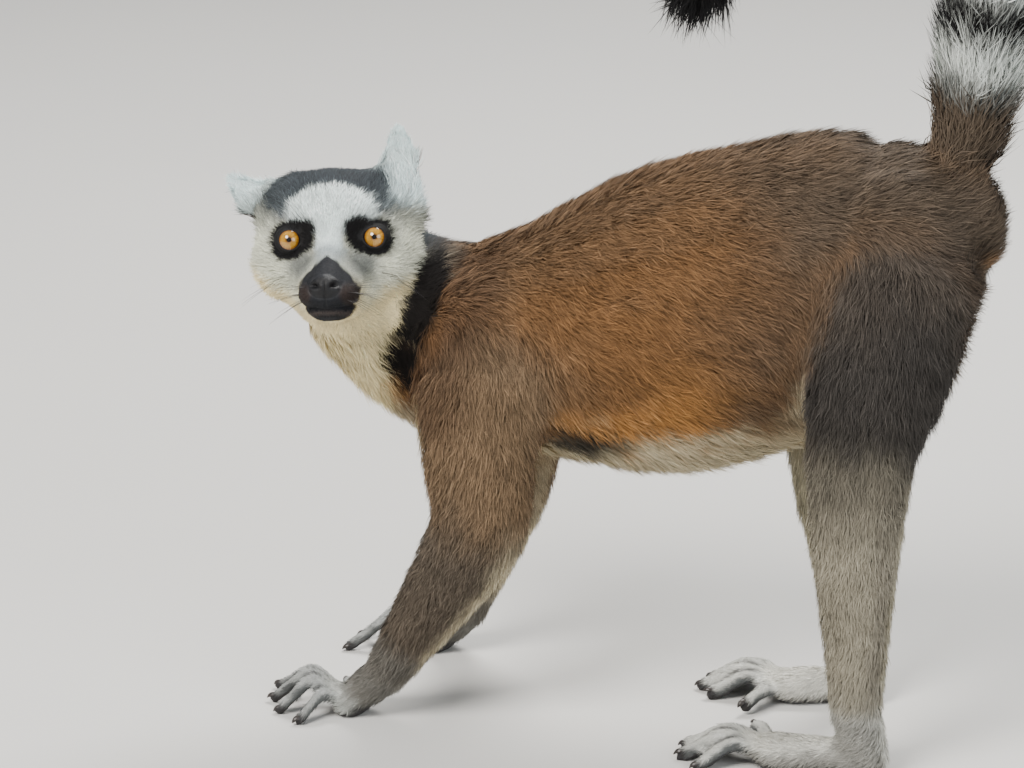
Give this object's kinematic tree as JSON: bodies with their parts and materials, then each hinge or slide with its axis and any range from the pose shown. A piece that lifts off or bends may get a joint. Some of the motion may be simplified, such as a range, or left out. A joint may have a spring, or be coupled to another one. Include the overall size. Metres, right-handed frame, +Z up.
{
  "type": "ring-tailed lemur standing model",
  "caption": "Life-size ring-tailed lemur on all fours with its head turned to its left and its ringed tail raised and crooked forward.",
  "frame": {"origin": "the middle of the bounding box's base, at the level of the floor under the hands and feet", "axes": "the body faces -Y, its left side is at +X and +Z is up; the head is turned towards +X"},
  "size_m": [0.164, 0.4018, 0.5885],
  "materials": {
    "head_coat": "short dense fur, slate cap and white face",
    "ear_coat": "short white fur",
    "muzzle_skin": "black, very short hair",
    "nose_skin": "bare black skin, slightly moist",
    "jaw_coat": "short cream fur with a dark lip",
    "eye": "clear glossy cornea over a golden orange iris",
    "neck_coat": "cream throat and dark brown nape",
    "trunk_coat": "dense fur, rusty brown grizzled with grey",
    "rump_coat": "dense grey-brown fur",
    "thigh_coat": "dense dark grey fur",
    "foreleg_coat": "short grey-brown grizzled fur",
    "shank_coat": "cream fur",
    "hand_coat": "very short pale grey fur, black pads and nails",
    "tail_coat": "long fur in white and black rings",
    "tail_tip_coat": "long black fur"
  },
  "bodies": {
    "root": {"belly": "trunk_coat", "chest": "trunk_coat", "ear_left": "ear_coat", "ear_right": "ear_coat", "eye_left": "eye", "eye_right": "eye", "foot_left": "hand_coat", "foot_left_fifth": "hand_coat", "foot_left_fourth": "hand_coat", "foot_left_hallux": "hand_coat", "foot_left_second": "hand_coat", "foot_left_third": "hand_coat", "foot_right": "hand_coat", "foot_right_fifth": "hand_coat", "foot_right_fourth": "hand_coat", "foot_right_hallux": "hand_coat", "foot_right_second": "hand_coat", "foot_right_third": "hand_coat", "hand_left": "hand_coat", "hand_left_index": "hand_coat", "hand_left_little": "hand_coat", "hand_left_middle": "hand_coat", "hand_left_ring": "hand_coat", "hand_left_thumb": "hand_coat", "hand_right": "hand_coat", "hand_right_index": "hand_coat", "hand_right_little": "hand_coat", "hand_right_middle": "hand_coat", "hand_right_ring": "hand_coat", "hand_right_thumb": "hand_coat", "head": "head_coat", "lower_foreleg_left": "foreleg_coat", "lower_foreleg_right": "foreleg_coat", "lower_jaw": "jaw_coat", "muzzle": "muzzle_skin", "neck": "neck_coat", "nose": "nose_skin", "rump": "rump_coat", "shank_left": "shank_coat", "shank_right": "shank_coat", "tail_1": "tail_coat", "tail_2": "tail_coat", "tail_3": "tail_coat", "tail_4": "tail_coat", "tail_5": "tail_coat", "tail_6": "tail_coat", "tail_7": "tail_coat", "tail_8": "tail_coat", "tail_9": "tail_tip_coat", "thigh_left": "thigh_coat", "thigh_right": "thigh_coat", "upper_foreleg_left": "foreleg_coat", "upper_foreleg_right": "foreleg_coat"}
  },
  "joints": []
}
